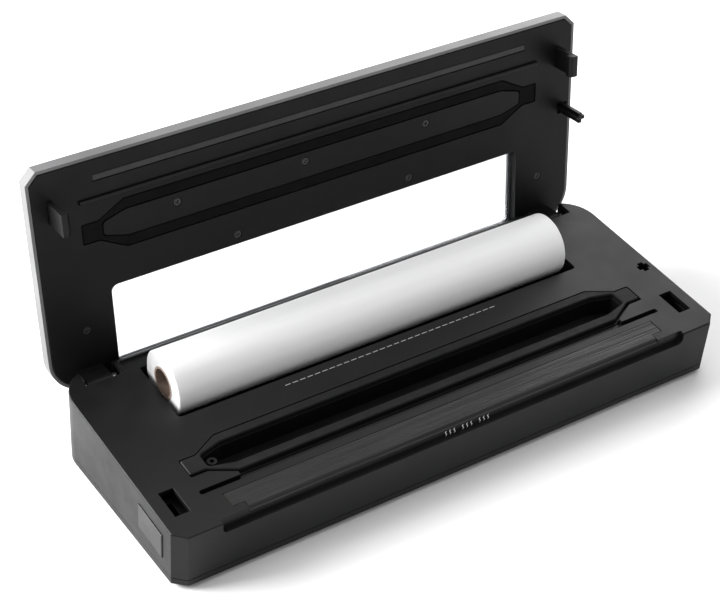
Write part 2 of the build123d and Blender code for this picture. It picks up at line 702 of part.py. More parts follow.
with BuildPart() as power_inlet:
    with BuildSketch(back_plane(inlet_x, deck_depth - 17, inlet_w)) as inlet_body:
        RectangleRounded(inlet_width, inlet_height, 2.8)
    extrude(inlet_body.sketch, amount=17.5, dir=deck.y_dir)
    with BuildSketch(back_plane(inlet_x, deck_depth + 0.1, inlet_w)) as inlet_flange:
        RectangleRounded(inlet_width + 4.4, inlet_height + 4.4, 3.5)
    extrude(inlet_flange.sketch, amount=1.2, dir=deck.y_dir)
    with BuildSketch(back_plane(inlet_x, deck_depth - inlet_pin_depth, inlet_w)) as inlet_hollow:
        SlotOverall(inlet_width - 3.2, inlet_height - 3.2)
    extrude(inlet_hollow.sketch, amount=20, dir=deck.y_dir, mode=Mode.SUBTRACT)
save(power_inlet.part, "power_inlet")

with BuildPart() as inlet_pins:
    with BuildSketch(back_plane(inlet_x, deck_depth - inlet_pin_depth, inlet_w)) as pin_ends:
        with Locations((-4.3, 0), (4.3, 0)):
            Circle(1.15)
    extrude(pin_ends.sketch, amount=10, dir=deck.y_dir)
save(inlet_pins.part, "inlet_pins")

# --- Lid inner panel: flat face with channels, window, hinge lugs and a collar for the dome
rim_inset = 2.0
panel_inset = rim_inset + running_gap
panel_top = lid_gap + 2.4
skin_low = lid_top - 2.0
key_low = skin_low - 0.2 - key_flange
key_stop = key_low - key_travel - 0.1
board_seat = key_stop - 0.7 - board_thickness
backing_top = board_seat - 0.2
flange_low = lid_top - 2.0 - running_gap / 2 - flange_thickness
window_plan = box_outline(window_length, window_front, window_rear, window_radius)
screw_places = [(x, chamber_u - 2.3) for x in (-100, -13, 75)]
screw_places += [(x, window_front - 6.3) for x in (-62, 62)]
screw_places += [(x, roll_u - 1.7) for x in (-tab_end - 4.4, tab_end + 4.4)]
with BuildPart() as lid_inner_panel:
    slab(body_outline(panel_inset), lid, lid_gap, panel_top)
    backing = (-rebate_length / 2 - 5.3, rebate_length / 2 + 5.3)
    block(lid, backing, (8, chamber_u + ring_half_height + 5.3), (panel_top - 0.5, backing_top))
    collar = box_outline(window_length + 4, window_front - 2, window_rear + 1.6, window_radius + 1)
    slab(collar, lid, panel_top - 0.5, flange_low - 0.1)
    for side in sides.values():
        lug = (side * lug_inner, side * lug_outer)
        cross_rod(lid, (hinge_u, hinge_w), barrel_radius, lug)
        block(lid, lug, (hinge_u - barrel_radius, hinge_u + 4.6), (hinge_w, lid_gap + 0.5))
        cross_rod(lid, (hinge_u, hinge_w), pin_radius + pin_clearance, lug, Mode.SUBTRACT)
    slab(window_plan, lid, lid_gap - 1, lid_top, Mode.SUBTRACT)
    slab(ring_outline(ring_gap), lid, lid_gap - 1, lid_gap + 2.2, Mode.SUBTRACT)
    slab(pit_outline(-ring_gap), lid, lid_gap, lid_gap + 2.4)
    strip_half = strip_length / 2 + 0.3
    block(lid, (-strip_half, strip_half), (strip_front - 0.3, strip_rear + 0.3), (0, lid_gap + 2), Mode.SUBTRACT)
    rib_centre = (groove_front + groove_rear) / 2
    rib_half = rib_length / 2 + 0.15
    rib_slot = (rib_centre - rib_width / 2 - 0.15, rib_centre + rib_width / 2 + 0.15)
    block(lid, (-rib_half, rib_half), rib_slot, (0, lid_gap + 2), Mode.SUBTRACT)
    for side in sides.values():
        root = (side * (hook_x - hook_thickness / 2 - 0.15), side * (hook_x + hook_thickness / 2 + 0.15))
        root_u = (button_u - 3 - hook_length / 2 - 0.15, button_u - 3 + hook_length / 2 + 0.15)
        block(lid, root, root_u, (0, panel_top + 1), Mode.SUBTRACT)
    root_half = cross_pin_span / 2 + 0.15
    pin_root = (switch_x - root_half, switch_x + root_half)
    pin_root_u = (switch_u - root_half, switch_u + root_half)
    block(lid, pin_root, pin_root_u, (0, panel_top + 1), Mode.SUBTRACT)
    for place in screw_places:
        rod(lid, place, 1.5, (0, lid_top), Mode.SUBTRACT)
        rod(lid, place, 2.7, (0, lid_gap + 1.2), Mode.SUBTRACT)
save(lid_inner_panel.part, "lid_inner_panel")

# --- Lid outer cover: skin with a rim all round, screw posts and a shallow bed for the controls
key_places = [(key_spacing * (n - 1.5), panel_u) for n in range(4)]
lens_places = [(x, panel_u + 8.6) for x, u in key_places]
with BuildPart() as lid_outer_cover:
    slab(body_outline(), lid, lid_gap + 0.6, lid_top)
    cover_face = lid_outer_cover.faces().sort_by(Axis(lid.origin, lid.z_dir))[-1]
    fillet(cover_face.edges(), 1.5)
    slab(body_outline(rim_inset), lid, 0, skin_low, Mode.SUBTRACT)
    for place in screw_places:
        rod(lid, place, 2.6, (backing_top + running_gap, skin_low + 0.5))
        rod(lid, place, 1.3, (0, skin_low), Mode.SUBTRACT)
    slab(window_plan, lid, 0, lid_top + 1, Mode.SUBTRACT)
    bed_u = (panel_u - panel_depth / 2 - 0.3, panel_u + panel_depth / 2 + 0.3)
    panel_bed = box_outline(panel_length + 0.6, bed_u[0], bed_u[1], 4.3)
    slab(panel_bed, lid, lid_top - panel_thickness - 0.1, lid_top + 1, Mode.SUBTRACT)
    for place in key_places:
        rod(lid, place, key_radius + 0.4, (0, lid_top), Mode.SUBTRACT)
    for place in lens_places:
        rod(lid, place, 1.3, (0, lid_top), Mode.SUBTRACT)
save(lid_outer_cover.part, "lid_outer_cover")

with BuildPart() as lid_screws:
    for place in screw_places:
        rod(lid, place, 2.5, (lid_gap + 0.2, lid_gap + 1.2))
        rod(lid, place, 1.25, (lid_gap + 1.2, skin_low - 1))
save(lid_screws.part, "lid_screws")

# --- Clear dome over the window
def dome_shell(grow, low, high, mode=Mode.ADD):
    """One skin of the dome: its foot grown or shrunk, drafted, with a round crown."""
    foot_plan = box_outline(
        window_length + 2 * grow, window_front - grow, window_rear + grow, window_radius + grow
    )
    with BuildPart() as skin:
        with BuildSketch(lid.offset(low)):
            add(foot_plan)
        extrude(amount=high - low, taper=dome_draft)
        crown = skin.faces().sort_by(Axis(lid.origin, lid.z_dir))[-1]
        fillet(crown.edges(), dome_round + grow)
    add(skin.part, mode=mode)


with BuildPart() as window_dome:
    flange_plan = box_outline(
        window_length + 2 * dome_flange, window_front - dome_flange, window_rear + dome_flange, window_radius
    )
    slab(flange_plan, lid, flange_low, flange_low + flange_thickness)
    dome_shell(-running_gap, flange_low, dome_top)
    dome_shell(-running_gap - dome_wall, flange_low, dome_top - dome_wall, Mode.SUBTRACT)
save(window_dome.part, "window_dome")

# --- Seals and clamp on the lid's inner face
with BuildPart() as lid_gasket:
    slab(ring_outline(), lid, lid_gap, lid_gap + 2.2)
    slab(pit_outline(), lid, lid_gap - 1, lid_gap + 3, Mode.SUBTRACT)
    seal_face = lid_gasket.faces().sort_by(Axis(lid.origin, lid.z_dir))[0]
    chamfer(seal_face.edges(), 0.5)
save(lid_gasket.part, "lid_gasket")

with BuildPart() as press_strip:
    strip_x = (-strip_length / 2, strip_length / 2)
    block(lid, strip_x, (strip_front, strip_rear), (lid_gap, lid_gap + 2))
    strip_face = press_strip.faces().sort_by(Axis(lid.origin, lid.z_dir))[0]
    fillet(strip_face.edges().filter_by(Axis.X), 0.8)
save(press_strip.part, "press_strip")

with BuildPart() as clamp_rib:
    rib_u = (rib_centre - rib_width / 2, rib_centre + rib_width / 2)
    block(lid, (-rib_length / 2, rib_length / 2), rib_u, (lid_gap - rib_reach, lid_gap + 2))
    rib_face = clamp_rib.faces().sort_by(Axis(lid.origin, lid.z_dir))[0]
    fillet(rib_face.edges().filter_by(Axis.X), 0.7)
save(clamp_rib.part, "clamp_rib")

# --- Latch hooks and the pin that works the switch, each with a flange behind the panel
for name, side in sides.items():
    with BuildPart() as latch_hook:
        shank = (side * (hook_x - hook_thickness / 2), side * (hook_x + hook_thickness / 2))
        hook_u = (button_u - 3 - hook_length / 2, button_u - 3 + hook_length / 2)
        hook_low = lid_gap - hook_reach
        block(lid, shank, hook_u, (hook_low, panel_top + 1.6))
        barb = (side * (hook_x - hook_thickness / 2 - barb_width), side * hook_x)
        block(lid, barb, hook_u, (hook_low, hook_low + barb_height))
        inner_face = latch_hook.faces().sort_by(Axis.X)[-1 if side < 0 else 0]
        barb_edge = inner_face.edges().sort_by(Axis(lid.origin, lid.z_dir))[0]
        chamfer(barb_edge, barb_width - 0.4)
        flange_x = (side * (hook_x - 4), side * (hook_x + 4))
        block(lid, flange_x, (hook_u[0] - 3, hook_u[1] + 3), (panel_top + 0.1, panel_top + 1.6))
    save(latch_hook.part, f"latch_hook_{name}")

with BuildPart() as switch_pin:
    for span_x, span_u in ((cross_pin_span, cross_pin_arm), (cross_pin_arm, cross_pin_span)):
        arm_x = (switch_x - span_x / 2, switch_x + span_x / 2)
        arm_u = (switch_u - span_u / 2, switch_u + span_u / 2)
        block(lid, arm_x, arm_u, (-pin_reach + running_gap / 2, panel_top + 1))
    pin_tip = switch_pin.faces().sort_by(Axis(lid.origin, lid.z_dir))[0]
    chamfer(pin_tip.edges(), 0.4)
    rod(lid, (switch_x, switch_u), 5.0, (panel_top + 0.1, panel_top + 1.6))
save(switch_pin.part, "switch_pin")

# --- Controls on the lid: panel, keys, indicator lenses and the board behind them
panel_plan = box_outline(panel_length, panel_u - panel_depth / 2, panel_u + panel_depth / 2, 4.0)
with BuildPart() as control_panel:
    slab(panel_plan, lid, lid_top - panel_thickness, lid_top)
    for place in key_places:
        rod(lid, place, key_radius + 0.4, (0, lid_top + 1), Mode.SUBTRACT)
    for place in lens_places:
        rod(lid, place, 1.3, (0, lid_top + 1), Mode.SUBTRACT)
save(control_panel.part, "control_panel")

key_names = ["key_power", "key_vacuum_seal", "key_seal", "key_gentle"]
for key_name, place in zip(key_names, key_places):
    with BuildPart() as key:
        rod(lid, place, key_radius, (key_low, lid_top + key_proud))
        key_face = key.faces().sort_by(Axis(lid.origin, lid.z_dir))[-1]
        fillet(key_face.edges(), 0.5)
        rod(lid, place, key_radius + 1.2, (key_low, skin_low - 0.2))
    save(key.part, key_name)

with BuildPart() as lid_circuit_board:
    lid_board_x = (-panel_length / 2, panel_length / 2)
    block(lid, lid_board_x, (panel_u - 11.5, panel_u + 11.5), (board_seat, board_seat + board_thickness))
    for place in key_places:
        rod(lid, place, 2.5, (board_seat + board_thickness, key_stop))
save(lid_circuit_board.part, "lid_circuit_board")

with BuildPart() as indicator_lenses:
    for place in lens_places:
        rod(lid, place, 1.2, (board_seat + board_thickness + 0.1, lid_top + 0.15))
save(indicator_lenses.part, "indicator_lenses")
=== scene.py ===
import bpy
import bmesh
import json
from math import cos, floor, pi, radians, sin, tau
from mathutils import Matrix, Vector, noise


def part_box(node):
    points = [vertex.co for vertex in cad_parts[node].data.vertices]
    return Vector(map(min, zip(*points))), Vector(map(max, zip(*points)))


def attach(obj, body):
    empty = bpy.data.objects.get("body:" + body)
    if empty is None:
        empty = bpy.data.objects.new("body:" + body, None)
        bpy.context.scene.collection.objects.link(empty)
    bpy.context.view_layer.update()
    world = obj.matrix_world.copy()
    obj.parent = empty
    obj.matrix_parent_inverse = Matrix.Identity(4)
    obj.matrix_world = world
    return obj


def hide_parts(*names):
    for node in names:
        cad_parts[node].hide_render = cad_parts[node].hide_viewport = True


print("loading the sealer")
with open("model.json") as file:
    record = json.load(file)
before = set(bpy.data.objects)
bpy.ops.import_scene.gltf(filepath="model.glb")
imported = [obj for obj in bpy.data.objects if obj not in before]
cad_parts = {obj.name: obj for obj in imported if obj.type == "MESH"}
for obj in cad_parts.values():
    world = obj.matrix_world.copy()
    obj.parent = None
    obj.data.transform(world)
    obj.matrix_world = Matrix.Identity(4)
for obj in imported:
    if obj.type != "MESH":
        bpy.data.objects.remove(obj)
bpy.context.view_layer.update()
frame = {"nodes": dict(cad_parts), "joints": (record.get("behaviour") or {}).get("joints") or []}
scene = bpy.context.scene
nodes = frame["nodes"]
mm = 0.001

# The deck and the open lid are two planes that turn about the hinge:
# x along, y back, z up from the moulding
hingeSetup = {"slope": 5.14, "opening": 98.6, "back": 141.6 * mm, "down": 10.5 * mm}
hingePoint = Vector(next(j["pos_m"] for j in frame["joints"] if j["name"] == "lid_hinge"))


def planeAboutHinge(degrees):
    toHinge = Matrix.Translation((0, -hingeSetup["back"], hingeSetup["down"]))
    return Matrix.Translation(hingePoint) @ Matrix.Rotation(radians(degrees), 4, "X") @ toHinge


deckPlane = planeAboutHinge(hingeSetup["slope"])
lidPlane = planeAboutHinge(hingeSetup["slope"] - hingeSetup["opening"])


def newPiece(name, bm, body, place=None, smoothUnder=None):
    mesh = bpy.data.meshes.new(name)
    if place is not None:
        bm.transform(place)
    bmesh.ops.recalc_face_normals(bm, faces=bm.faces)
    bm.to_mesh(mesh)
    bm.free()
    piece = bpy.data.objects.new(name, mesh)
    scene.collection.objects.link(piece)
    if smoothUnder is not None:
        mesh.shade_smooth()
        mesh.set_sharp_from_angle(angle=radians(smoothUnder))
    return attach(piece, body)


def skinRows(bm, rows, material=0):
    # each row of points is joined to the next one
    rings = [[bm.verts.new(p) for p in row] for row in rows]
    for first, second in zip(rings, rings[1:]):
        for i in range(len(first) - 1):
            bm.faces.new((first[i], first[i + 1], second[i + 1],
                          second[i])).material_index = material
    return rings


def dressNode(name, material):
    node = nodes[name]
    if not node.material_slots:
        node.data.materials.append(material)
    for slot in node.material_slots:
        slot.material = material


# Node tools: every finish below is put together from these
def startFinish(name):
    material = bpy.data.materials.new(name)
    material.use_nodes = True
    tree = material.node_tree
    spot = tree.nodes.new("ShaderNodeTexCoord").outputs["Object"]
    return material, tree, tree.nodes["Principled BSDF"], spot


def speckle(tree, spot, scale, detail=3.0, stretch=(1, 1, 1), tilt=0.0):
    turned = tree.nodes.new("ShaderNodeMapping")
    turned.inputs["Scale"].default_value = stretch
    turned.inputs["Rotation"].default_value = (tilt, 0, 0)
    tree.links.new(spot, turned.inputs["Vector"])
    grain = tree.nodes.new("ShaderNodeTexNoise")
    grain.inputs["Scale"].default_value = scale
    grain.inputs["Detail"].default_value = detail
    tree.links.new(turned.outputs["Vector"], grain.inputs["Vector"])
    return grain.outputs["Fac"]


def between(tree, factor, low, high, fromLow=0.3, fromHigh=0.7):
    span = tree.nodes.new("ShaderNodeMapRange")
    span.inputs["From Min"].default_value = fromLow
    span.inputs["From Max"].default_value = fromHigh
    span.inputs["To Min"].default_value = low
    span.inputs["To Max"].default_value = high
    tree.links.new(factor, span.inputs["Value"])
    return span.outputs["Result"]


def tintBetween(tree, factor, dark, light):
    mix = tree.nodes.new("ShaderNodeMix")
    mix.data_type = "RGBA"
    tree.links.new(factor, mix.inputs[0])
    for socket, colour in ((mix.inputs[6], dark), (mix.inputs[7], light)):
        if isinstance(colour, bpy.types.NodeSocket):
            tree.links.new(colour, socket)
        else:
            socket.default_value = (*colour, 1)
    return mix.outputs[2]


def relief(tree, height, depth, strength=1.0, under=None):
    bump = tree.nodes.new("ShaderNodeBump")
    bump.inputs["Distance"].default_value = depth
    bump.inputs["Strength"].default_value = strength
    tree.links.new(height, bump.inputs["Height"])
    if under is not None:
        tree.links.new(under, bump.inputs["Normal"])
    return bump.outputs["Normal"]


def shaded(colour, share):
    return tuple(min(1.0, c * share) for c in colour)


def mouldedPlastic(name, look):
    # fine spark-eroded grain, slightly uneven gloss, soft moulded edges that catch the light, plus
    # a painted highlight that lightens the colour along every edge
    material, tree, shader, spot = startFinish(name)
    cloud = between(tree, speckle(tree, spot, look.get("cloudSize", 22)), 0, 1)
    colour = tintBetween(tree, cloud, shaded(look["colour"], 0.86), shaded(look["colour"], 1.14))
    soft = tree.nodes.new("ShaderNodeBevel")
    soft.samples = 4
    soft.inputs["Radius"].default_value = look.get("edgeRadius", 0.5 * mm)
    shape = tree.nodes.new("ShaderNodeNewGeometry")
    dot = tree.nodes.new("ShaderNodeVectorMath")
    dot.operation = "DOT_PRODUCT"
    tree.links.new(soft.outputs["Normal"], dot.inputs[0])
    tree.links.new(shape.outputs["Normal"], dot.inputs[1])
    # painted highlight: where the rounded-edge normal turns away from the face, the colour is
    # lightened by the look's edge factor
    edgeHighlightMask = between(tree, dot.outputs["Value"], 1, 0, 0.72, 0.97)
    edgeHighlightColour = tintBetween(tree, edgeHighlightMask, colour, shaded(look["colour"], look.get("edgeHighlight", 1.7)))
    tree.links.new(edgeHighlightColour, shader.inputs["Base Color"])
    rough, spread = look["roughness"], look.get("unevenness", 0.05)
    smudge = speckle(tree, spot, look.get("smudgeSize", 55), 5.0)
    tree.links.new(between(tree, smudge, rough - spread, rough + spread),
                   shader.inputs["Roughness"])
    grain = speckle(tree, spot, look.get("grain", 2600), 2.0)
    tree.links.new(relief(tree, grain, look.get("grainDepth", 0.02 * mm), 0.5,
                          soft.outputs["Normal"]),
                   shader.inputs["Normal"])
    shader.inputs["Specular IOR Level"].default_value = look.get("specular", 0.3)
    return material


def softRubber(name, look):
    # dusty matt rubber with moulding flow lines
    material, tree, shader, spot = startFinish(name)
    dust = between(tree, speckle(tree, spot, look.get("dustSize", 90), 6.0), 0, 1, 0.45, 0.75)
    tree.links.new(tintBetween(tree, dust, look["colour"],
                               shaded(look["colour"], look.get("dust", 1.5))),
                   shader.inputs["Base Color"])
    tree.links.new(between(tree, speckle(tree, spot, 140), look["roughness"] - 0.06,
                           look["roughness"] + 0.08),
                   shader.inputs["Roughness"])
    flow = speckle(tree, spot, 420, 2.0, look.get("flow", (0.15, 1, 1)))
    tree.links.new(relief(tree, flow, 0.04 * mm, 0.6), shader.inputs["Normal"])
    shader.inputs["Specular IOR Level"].default_value = look.get("specular", 0.3)
    return material


def drawnMetal(name, look):
    # metal with fine drawing or brushing lines along one direction
    material, tree, shader, spot = startFinish(name)
    lines = speckle(tree, spot, look.get("lineSize", 900), 4.0, look.get("along", (0.04, 1, 1)))
    tree.links.new(tintBetween(tree, between(tree, lines, 0, 1), shaded(look["colour"], 0.8),
                               look["colour"]),
                   shader.inputs["Base Color"])
    tree.links.new(between(tree, lines, look["roughness"] - 0.08, look["roughness"] + 0.1),
                   shader.inputs["Roughness"])
    tree.links.new(relief(tree, lines, 0.01 * mm, 0.5), shader.inputs["Normal"])
    shader.inputs["Metallic"].default_value = look.get("metallic", 1.0)
    return material


print("finishes")
# the edge factor in each look sets how strongly its edges are lightened as a painted highlight
shellBlack = mouldedPlastic("shellBlack", {
    "colour": (0.0045, 0.0045, 0.0048), "roughness": 0.4, "specular": 0.2, "edgeHighlight": 2.6})
lidSatin = mouldedPlastic("lidSatin", {
    "colour": (0.12, 0.12, 0.122), "roughness": 0.38, "specular": 0.45, "grain": 3600,
    "grainDepth": 0.01 * mm, "edgeHighlight": 1.25, "edgeRadius": 0.4 * mm})
lidLining = mouldedPlastic("lidLining", {
    "colour": (0.004, 0.004, 0.0043), "roughness": 0.44, "specular": 0.17, "edgeHighlight": 1.3})
mechanismBlack = mouldedPlastic("mechanismBlack", {
    "colour": (0.0055, 0.0055, 0.0058), "roughness": 0.4, "specular": 0.2, "edgeRadius": 0.3 * mm,
    "edgeHighlight": 2.2})
buttonBlack = mouldedPlastic("buttonBlack", {
    "colour": (0.011, 0.011, 0.0115), "roughness": 0.36, "specular": 0.32, "edgeRadius": 0.35 * mm})
keyGrey = mouldedPlastic("keyGrey", {
    "colour": (0.15, 0.15, 0.155), "roughness": 0.36, "specular": 0.4, "edgeHighlight": 1.3,
    "edgeRadius": 0.3 * mm})
panelGloss = mouldedPlastic("panelGloss", {
    "colour": (0.012, 0.012, 0.014), "roughness": 0.14, "specular": 0.5, "grain": 900,
    "grainDepth": 0.003 * mm, "unevenness": 0.03, "edgeRadius": 0.2 * mm})
barResin = mouldedPlastic("barResin", {
    "colour": (0.055, 0.05, 0.046), "roughness": 0.55, "cloudSize": 120, "edgeRadius": 0.3 * mm})
pumpWhite = mouldedPlastic("pumpWhite", {
    "colour": (0.58, 0.58, 0.55), "roughness": 0.45, "edgeHighlight": 1.05, "specular": 0.4})
switchGrey = mouldedPlastic("switchGrey", {
    "colour": (0.1, 0.1, 0.105), "roughness": 0.42, "edgeRadius": 0.2 * mm, "edgeHighlight": 1.3})
componentBlack = mouldedPlastic("componentBlack", {
    "colour": (0.024, 0.024, 0.027), "roughness": 0.3, "edgeRadius": 0.3 * mm, "specular": 0.45})
sealRubber = softRubber("sealRubber", {"colour": (0.006, 0.006, 0.0063), "roughness": 0.58,
                                       "dust": 1.5, "specular": 0.16})
lidSealRubber = softRubber("lidSealRubber", {"colour": (0.0025, 0.0025, 0.0028), "roughness": 0.66,
                                             "dust": 1.3, "specular": 0.08})
siliconeStrip = softRubber("siliconeStrip", {"colour": (0.03, 0.03, 0.031), "roughness": 0.5,
                                             "dust": 1.3})
footRubber = softRubber("footRubber", {"colour": (0.022, 0.022, 0.022), "roughness": 0.7,
                                       "flow": (1, 1, 1)})
hoseRubber = softRubber("hoseRubber", {"colour": (0.62, 0.62, 0.58), "roughness": 0.3, "dust": 1.1,
                                       "specular": 0.5})
brightSteel = drawnMetal("brightSteel", {"colour": (0.62, 0.62, 0.63), "roughness": 0.28})
screwBlack = drawnMetal("screwBlack", {"colour": (0.05, 0.05, 0.052), "roughness": 0.36,
                                       "along": (1, 1, 1), "lineSize": 1600, "metallic": 0.6})
springSteel = drawnMetal("springSteel", {"colour": (0.5, 0.5, 0.52), "roughness": 0.24,
                                         "along": (1, 1, 1)})
heatRibbon = drawnMetal("heatRibbon", {"colour": (0.6, 0.58, 0.55), "roughness": 0.34})
motorCan = drawnMetal("motorCan", {"colour": (0.6, 0.6, 0.61), "roughness": 0.3,
                                   "along": (1, 0.05, 0.05)})
brassPins = drawnMetal("brassPins", {"colour": (0.72, 0.6, 0.34), "roughness": 0.22,
                                     "along": (1, 0.05, 1)})
coreSteel = drawnMetal("coreSteel", {"colour": (0.24, 0.24, 0.25), "roughness": 0.45,
                                     "along": (1, 1, 0.02), "lineSize": 1400,
                                     "metallic": 0.7})  # stacked laminations
copperWinding = drawnMetal("copperWinding", {"colour": (0.66, 0.3, 0.14), "roughness": 0.3,
                                             "along": (1, 0.02, 1), "lineSize": 1200})


def clearSmoke(name, look):
    material, tree, shader, spot = startFinish(name)
    flow = speckle(tree, spot, look["flowSize"], 2.0, (0.5, 1, 1))
    tree.links.new(tintBetween(tree, flow, look["tint"], shaded(look["tint"], 1.03)),
                   shader.inputs["Base Color"])
    tree.links.new(between(tree, flow, look["roughness"] * 0.6, look["roughness"] * 1.4),
                   shader.inputs["Roughness"])
    tree.links.new(relief(tree, flow, look["flowDepth"], 0.4), shader.inputs["Normal"])
    shader.inputs["Transmission Weight"].default_value = 1.0
    shader.inputs["IOR"].default_value = 1.49
    return material


domeClear = clearSmoke("domeClear", {"tint": (0.74, 0.75, 0.765), "roughness": 0.03, "flowSize": 60,
                                     "flowDepth": 0.02 * mm})


def stretchedFilm(name, look):
    # milky layered film: faint rolled-in lines along the length and an embossed mesh
    material, tree, shader, spot = startFinish(name)
    streak = between(tree, speckle(tree, spot, 120, 3.0, (0.06, 1, 1)), 0, 1)
    tree.links.new(tintBetween(tree, streak, shaded(look["colour"], 0.95), look["colour"]),
                   shader.inputs["Base Color"])
    tree.links.new(between(tree, speckle(tree, spot, 70), look["roughness"] - 0.08,
                           look["roughness"] + 0.08),
                   shader.inputs["Roughness"])
    mesh = tree.nodes.new("ShaderNodeTexVoronoi")
    mesh.inputs["Scale"].default_value = look["embossing"]
    tree.links.new(spot, mesh.inputs["Vector"])
    lines = relief(tree, streak, 0.06 * mm, 0.5)
    tree.links.new(relief(tree, mesh.outputs["Distance"], 0.02 * mm, 0.35, lines),
                   shader.inputs["Normal"])
    shader.inputs["Subsurface Weight"].default_value = 0.25
    shader.inputs["Subsurface Radius"].default_value = (0.004, 0.004, 0.004)
    shader.inputs["Subsurface Scale"].default_value = 1.0
    return material


filmWhite = stretchedFilm("filmWhite", {"colour": (0.8, 0.8, 0.802), "roughness": 0.42,
                                        "embossing": 620})
filmEdge = stretchedFilm("filmEdge", {"colour": (0.55, 0.55, 0.55), "roughness": 0.5,
                                      "embossing": 900})


def rolledBoard(name, look):
    material, tree, shader, spot = startFinish(name)
    fibre = between(tree, speckle(tree, spot, 700, 6.0, (0.35, 1, 1)), 0, 1)
    tree.links.new(tintBetween(tree, fibre, shaded(look["colour"], 0.72), look["colour"]),
                   shader.inputs["Base Color"])
    tree.links.new(between(tree, fibre, 0.78, 0.92), shader.inputs["Roughness"])
    tree.links.new(relief(tree, fibre, 0.05 * mm, 0.6), shader.inputs["Normal"])
    return material


coreBoard = rolledBoard("coreBoard", {"colour": (0.25, 0.185, 0.15)})


def glassTape(name, look):
    # coated glass cloth: fine weave under a slippery skin, with drag marks along its length
    material, tree, shader, spot = startFinish(name)
    drag = between(tree, speckle(tree, spot, 980, 5.0, (0.014, 1, 1)), 0, 1, 0.36, 0.64)
    stain = between(tree, speckle(tree, spot, 30, 4.0, (0.4, 1, 1)), 0, 1)
    base = tintBetween(tree, drag, look["dark"], look["light"])
    tree.links.new(tintBetween(tree, stain, base, shaded(look["light"], 0.8)),
                   shader.inputs["Base Color"])
    tree.links.new(between(tree, drag, look["roughness"] + 0.12, look["roughness"] - 0.1),
                   shader.inputs["Roughness"])
    weave = []
    for axis in ("X", "Y"):
        wave = tree.nodes.new("ShaderNodeTexWave")
        wave.bands_direction = axis
        wave.inputs["Scale"].default_value = look["threads"]
        tree.links.new(spot, wave.inputs["Vector"])
        weave.append(wave.outputs["Fac"])
    threads = relief(tree, weave[1], 0.02 * mm, 0.5, relief(tree, weave[0], 0.02 * mm, 0.5))
    tree.links.new(relief(tree, drag, 0.12 * mm, 0.8, threads), shader.inputs["Normal"])
    shader.inputs["Specular IOR Level"].default_value = 0.26
    return material


slipTape = glassTape("slipTape", {"dark": (0.002, 0.002, 0.002), "light": (0.014, 0.0138, 0.0135),
                                  "roughness": 0.4,
                                  "threads": 420})


def circuitFilm(name, look):
    material, tree, shader, spot = startFinish(name)
    tracks = tree.nodes.new("ShaderNodeTexBrick")
    tracks.inputs["Scale"].default_value = 110
    tracks.inputs["Color1"].default_value = (*look["colour"], 1)
    tracks.inputs["Color2"].default_value = (*shaded(look["colour"], 0.8), 1)
    tracks.inputs["Mortar"].default_value = (*shaded(look["colour"], 1.7), 1)
    tree.links.new(spot, tracks.inputs["Vector"])
    tree.links.new(tracks.outputs["Color"], shader.inputs["Base Color"])
    tree.links.new(between(tree, speckle(tree, spot, 200), 0.28, 0.42), shader.inputs["Roughness"])
    tree.links.new(relief(tree, tracks.outputs["Fac"], 0.03 * mm, 0.5), shader.inputs["Normal"])
    return material


boardGreen = circuitFilm("boardGreen", {"colour": (0.02, 0.14, 0.06)})


def printedInk(name, colour):
    material, tree, shader, spot = startFinish(name)
    patch = between(tree, speckle(tree, spot, 1500, 3.0), 0, 1)
    tree.links.new(tintBetween(tree, patch, shaded(colour, 0.8), colour),
                   shader.inputs["Base Color"])
    tree.links.new(between(tree, patch, 0.45, 0.6), shader.inputs["Roughness"])
    return material


inkWhite = printedInk("inkWhite", (0.62, 0.62, 0.62))
inkGrey = printedInk("inkGrey", (0.34, 0.34, 0.34))


def tintedLens(name, colour):
    material, tree, shader, spot = startFinish(name)
    swirl = between(tree, speckle(tree, spot, 400), 0, 1)
    tree.links.new(tintBetween(tree, swirl, shaded(colour, 0.85), colour),
                   shader.inputs["Base Color"])
    tree.links.new(between(tree, swirl, 0.12, 0.22), shader.inputs["Roughness"])
    shader.inputs["Transmission Weight"].default_value = 0.5
    return material


lensGreen = tintedLens("lensGreen", (0.35, 0.68, 0.45))

print("dressing the moulded and metal parts")
finishOf = {
    "base_housing": shellBlack, "bottom_cover": shellBlack, "roll_tray": shellBlack,
    "chamber_tray": shellBlack,
    "lid_outer_cover": lidSatin, "lid_inner_panel": lidLining, "window_dome": domeClear,
    "chamber_gasket": sealRubber, "lid_gasket": lidSealRubber, "press_strip": siliconeStrip,
    "clamp_rib": mechanismBlack, "suction_port": mechanismBlack, "suction_hose": hoseRubber,
    "heater_bar": barResin, "heating_wire": heatRibbon, "ptfe_tape": slipTape,
    "release_button_left": buttonBlack, "release_button_right": buttonBlack,
    "latch_slider_left": mechanismBlack, "latch_slider_right": mechanismBlack,
    "latch_spring_left": springSteel, "latch_spring_right": springSteel,
    "latch_hook_left": mechanismBlack, "latch_hook_right": mechanismBlack,
    "switch_pin": mechanismBlack,
    "hinge_bracket_left": brightSteel, "hinge_bracket_right": brightSteel,
    "hinge_pin_left": brightSteel, "hinge_pin_right": brightSteel,
    "foot_front_left": footRubber, "foot_rear_left": footRubber,
    "foot_front_right": footRubber, "foot_rear_right": footRubber,
    "microswitch": switchGrey, "switch_plunger": pumpWhite, "vacuum_pump": pumpWhite,
    "pump_motor": motorCan,
    "transformer_core": coreSteel, "transformer_winding": copperWinding,
    "circuit_board": boardGreen,
    "board_components": componentBlack, "lid_circuit_board": boardGreen,
    "power_inlet": componentBlack,
    "inlet_pins": brassPins, "control_panel": panelGloss, "indicator_lenses": lensGreen,
    "key_power": keyGrey, "key_vacuum_seal": keyGrey, "key_seal": keyGrey, "key_gentle": keyGrey,
}
for nodeName, finish in finishOf.items():
    dressNode(nodeName, finish)

